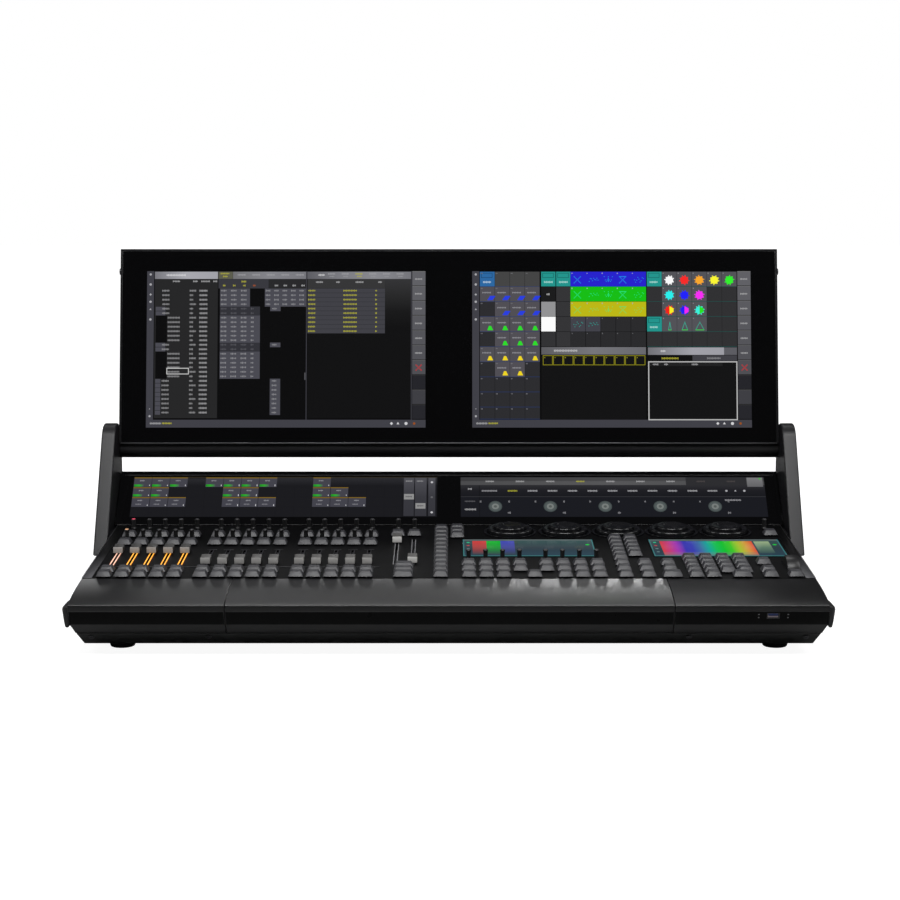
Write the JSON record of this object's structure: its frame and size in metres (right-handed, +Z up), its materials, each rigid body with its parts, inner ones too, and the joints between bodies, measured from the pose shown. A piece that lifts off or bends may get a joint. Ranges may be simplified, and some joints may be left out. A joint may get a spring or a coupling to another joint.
{
  "type": "lighting control desk",
  "caption": "Wide desk-top lighting control desk: sloping panel with faders, keys and encoders, letterbox displays, tilting twin-monitor wing and sliding keyboard drawer.",
  "frame": {"origin": "centre of the footprint box, on the surface that the feet stand on", "axes": "+X to the operator's right along the desk, +Y to the rear, +Z up"},
  "size_m": [0.848, 0.54, 0.4176],
  "materials": {
    "pan": "satin black paint on sheet steel",
    "case": "fine textured black powder coat",
    "armrest": "satin black paint with a fine grain",
    "panel": "dark textured coat",
    "inner_housing": "matt black",
    "screen_glass": "glossy black backed glass",
    "display": "lit display panel",
    "arm": "satin dark grey paint",
    "rail": "moulded black bumper",
    "foot": "matt rubber",
    "module": "moulded plastic and plated steel",
    "board": "solder-masked board",
    "module_can": "plain sheet",
    "bezel": "polished black ring",
    "screw": "blackened steel",
    "housing": "black anodised",
    "tube": "black anodised tube",
    "key": "fine matt moulded cap",
    "fader_dark": "mid grey moulded cap",
    "fader_cap": "light grey moulded cap",
    "encoder": "glossy black",
    "knob": "soft matt black",
    "socket": "black moulding"
  },
  "bodies": {
    "desk": {"base_pan": "pan", "case_shell": "case", "rear_cover": "case", "connector_panel": "case", "sockets": "socket", "left_armrest": "armrest", "right_armrest": "armrest", "control_panel": "panel", "letterbox_housing": "inner_housing", "letterbox_glass": "screen_glass", "panel_displays": "display", "left_arm": "arm", "right_arm": "arm", "side_rails": "rail", "feet": "foot", "panel_modules": "module", "circuit_boards": "board", "power_supply": "module_can", "encoder_bezels": "bezel", "case_screws": "screw", "drawer_runners": "module_can"},
    "monitor_wing": {"monitor_housing": "housing", "monitor_glass": "screen_glass", "monitor_displays": "display", "hinge_tube": "tube", "latch_pins": "screw"},
    "keyboard_drawer": {"drawer_front": "armrest", "keyboard_tray": "case", "keyboard_keys": "key"},
    "executor_fader_1": {"executor_fader_1": "fader_dark"},
    "executor_fader_2": {"executor_fader_2": "fader_dark"},
    "executor_fader_3": {"executor_fader_3": "fader_dark"},
    "executor_fader_4": {"executor_fader_4": "fader_dark"},
    "executor_fader_5": {"executor_fader_5": "fader_dark"},
    "executor_fader_6": {"executor_fader_6": "fader_cap"},
    "executor_fader_7": {"executor_fader_7": "fader_cap"},
    "executor_fader_8": {"executor_fader_8": "fader_cap"},
    "executor_fader_9": {"executor_fader_9": "fader_cap"},
    "executor_fader_10": {"executor_fader_10": "fader_cap"},
    "executor_fader_11": {"executor_fader_11": "fader_cap"},
    "executor_fader_12": {"executor_fader_12": "fader_cap"},
    "executor_fader_13": {"executor_fader_13": "fader_cap"},
    "executor_fader_14": {"executor_fader_14": "fader_cap"},
    "executor_fader_15": {"executor_fader_15": "fader_cap"},
    "master_fader_1": {"master_fader_1": "fader_cap"},
    "master_fader_2": {"master_fader_2": "fader_cap"},
    "encoder_ring_1": {"encoder_ring_1": "encoder"},
    "encoder_knob_1": {"encoder_knob_1": "knob"},
    "encoder_ring_2": {"encoder_ring_2": "encoder"},
    "encoder_knob_2": {"encoder_knob_2": "knob"},
    "encoder_ring_3": {"encoder_ring_3": "encoder"},
    "encoder_knob_3": {"encoder_knob_3": "knob"},
    "encoder_ring_4": {"encoder_ring_4": "encoder"},
    "encoder_knob_4": {"encoder_knob_4": "knob"},
    "encoder_ring_5": {"encoder_ring_5": "encoder"},
    "encoder_knob_5": {"encoder_knob_5": "knob"},
    "level_wheel": {"level_wheel": "knob"},
    "executor_keys": {"executor_keys": "key"},
    "command_keys": {"command_keys": "key"},
    "small_knobs": {"small_knobs": "knob"}
  },
  "joints": [
    {"name": "monitor_tilt", "type": "hinge", "parent": "desk", "child": "monitor_wing", "pos_m": [0, 0.11412, 0.17437], "axis": [1, 0, 0], "range_deg": [-20, 106]},
    {"name": "drawer_slide", "type": "slide", "parent": "desk", "child": "keyboard_drawer", "axis": [0, -1, 0], "range_m": [0, 0.135]},
    {"name": "executor_slide_1", "type": "slide", "parent": "desk", "child": "executor_fader_1", "axis": [0, 0.9976, 0.0698], "range_m": [-0.054, 0.006]},
    {"name": "executor_slide_2", "type": "slide", "parent": "desk", "child": "executor_fader_2", "axis": [0, 0.9976, 0.0698], "range_m": [-0.054, 0.006]},
    {"name": "executor_slide_3", "type": "slide", "parent": "desk", "child": "executor_fader_3", "axis": [0, 0.9976, 0.0698], "range_m": [-0.054, 0.006]},
    {"name": "executor_slide_4", "type": "slide", "parent": "desk", "child": "executor_fader_4", "axis": [0, 0.9976, 0.0698], "range_m": [-0.054, 0.006]},
    {"name": "executor_slide_5", "type": "slide", "parent": "desk", "child": "executor_fader_5", "axis": [0, 0.9976, 0.0698], "range_m": [-0.054, 0.006]},
    {"name": "executor_slide_6", "type": "slide", "parent": "desk", "child": "executor_fader_6", "axis": [0, 0.9976, 0.0698], "range_m": [-0.008, 0.052]},
    {"name": "executor_slide_7", "type": "slide", "parent": "desk", "child": "executor_fader_7", "axis": [0, 0.9976, 0.0698], "range_m": [-0.008, 0.052]},
    {"name": "executor_slide_8", "type": "slide", "parent": "desk", "child": "executor_fader_8", "axis": [0, 0.9976, 0.0698], "range_m": [-0.008, 0.052]},
    {"name": "executor_slide_9", "type": "slide", "parent": "desk", "child": "executor_fader_9", "axis": [0, 0.9976, 0.0698], "range_m": [-0.008, 0.052]},
    {"name": "executor_slide_10", "type": "slide", "parent": "desk", "child": "executor_fader_10", "axis": [0, 0.9976, 0.0698], "range_m": [-0.008, 0.052]},
    {"name": "executor_slide_11", "type": "slide", "parent": "desk", "child": "executor_fader_11", "axis": [0, 0.9976, 0.0698], "range_m": [-0.008, 0.052]},
    {"name": "executor_slide_12", "type": "slide", "parent": "desk", "child": "executor_fader_12", "axis": [0, 0.9976, 0.0698], "range_m": [-0.008, 0.052]},
    {"name": "executor_slide_13", "type": "slide", "parent": "desk", "child": "executor_fader_13", "axis": [0, 0.9976, 0.0698], "range_m": [-0.008, 0.052]},
    {"name": "executor_slide_14", "type": "slide", "parent": "desk", "child": "executor_fader_14", "axis": [0, 0.9976, 0.0698], "range_m": [-0.008, 0.052]},
    {"name": "executor_slide_15", "type": "slide", "parent": "desk", "child": "executor_fader_15", "axis": [0, 0.9976, 0.0698], "range_m": [-0.008, 0.052]},
    {"name": "master_slide_1", "type": "slide", "parent": "desk", "child": "master_fader_1", "axis": [0, 0.9976, 0.0698], "range_m": [-0.094, 0.006]},
    {"name": "master_slide_2", "type": "slide", "parent": "desk", "child": "master_fader_2", "axis": [0, 0.9976, 0.0698], "range_m": [-0.004, 0.096]},
    {"name": "encoder_ring_turn_1", "type": "hinge", "parent": "desk", "child": "encoder_ring_1", "pos_m": [0.0732, 0.01581, 0.08496], "axis": [0, -0.0698, 0.9976], "continuous": true},
    {"name": "encoder_knob_turn_1", "type": "hinge", "parent": "desk", "child": "encoder_knob_1", "pos_m": [0.0732, 0.01581, 0.08496], "axis": [0, -0.0698, 0.9976], "continuous": true},
    {"name": "encoder_ring_turn_2", "type": "hinge", "parent": "desk", "child": "encoder_ring_2", "pos_m": [0.1387, 0.01581, 0.08496], "axis": [0, -0.0698, 0.9976], "continuous": true},
    {"name": "encoder_knob_turn_2", "type": "hinge", "parent": "desk", "child": "encoder_knob_2", "pos_m": [0.1387, 0.01581, 0.08496], "axis": [0, -0.0698, 0.9976], "continuous": true},
    {"name": "encoder_ring_turn_3", "type": "hinge", "parent": "desk", "child": "encoder_ring_3", "pos_m": [0.2023, 0.01581, 0.08496], "axis": [0, -0.0698, 0.9976], "continuous": true},
    {"name": "encoder_knob_turn_3", "type": "hinge", "parent": "desk", "child": "encoder_knob_3", "pos_m": [0.2023, 0.01581, 0.08496], "axis": [0, -0.0698, 0.9976], "continuous": true},
    {"name": "encoder_ring_turn_4", "type": "hinge", "parent": "desk", "child": "encoder_ring_4", "pos_m": [0.2662, 0.01581, 0.08496], "axis": [0, -0.0698, 0.9976], "continuous": true},
    {"name": "encoder_knob_turn_4", "type": "hinge", "parent": "desk", "child": "encoder_knob_4", "pos_m": [0.2662, 0.01581, 0.08496], "axis": [0, -0.0698, 0.9976], "continuous": true},
    {"name": "encoder_ring_turn_5", "type": "hinge", "parent": "desk", "child": "encoder_ring_5", "pos_m": [0.3305, 0.01581, 0.08496], "axis": [0, -0.0698, 0.9976], "continuous": true},
    {"name": "encoder_knob_turn_5", "type": "hinge", "parent": "desk", "child": "encoder_knob_5", "pos_m": [0.3305, 0.01581, 0.08496], "axis": [0, -0.0698, 0.9976], "continuous": true},
    {"name": "level_wheel_turn", "type": "hinge", "parent": "desk", "child": "level_wheel", "pos_m": [0.3835, -0.13623, 0.06581], "axis": [1, 0, 0], "continuous": true},
    {"name": "executor_key_press", "type": "slide", "parent": "desk", "child": "executor_keys", "axis": [0, 0.0698, -0.9976], "range_m": [0, 0.0015], "stiffness_N_per_m": 2000, "springref_m": -0.002},
    {"name": "command_key_press", "type": "slide", "parent": "desk", "child": "command_keys", "axis": [0, 0.0698, -0.9976], "range_m": [0, 0.0015], "stiffness_N_per_m": 2000, "springref_m": -0.002},
    {"name": "knob_press", "type": "slide", "parent": "desk", "child": "small_knobs", "axis": [0, 0.0698, -0.9976], "range_m": [0, 0.0015], "stiffness_N_per_m": 1500, "springref_m": -0.002}
  ]
}
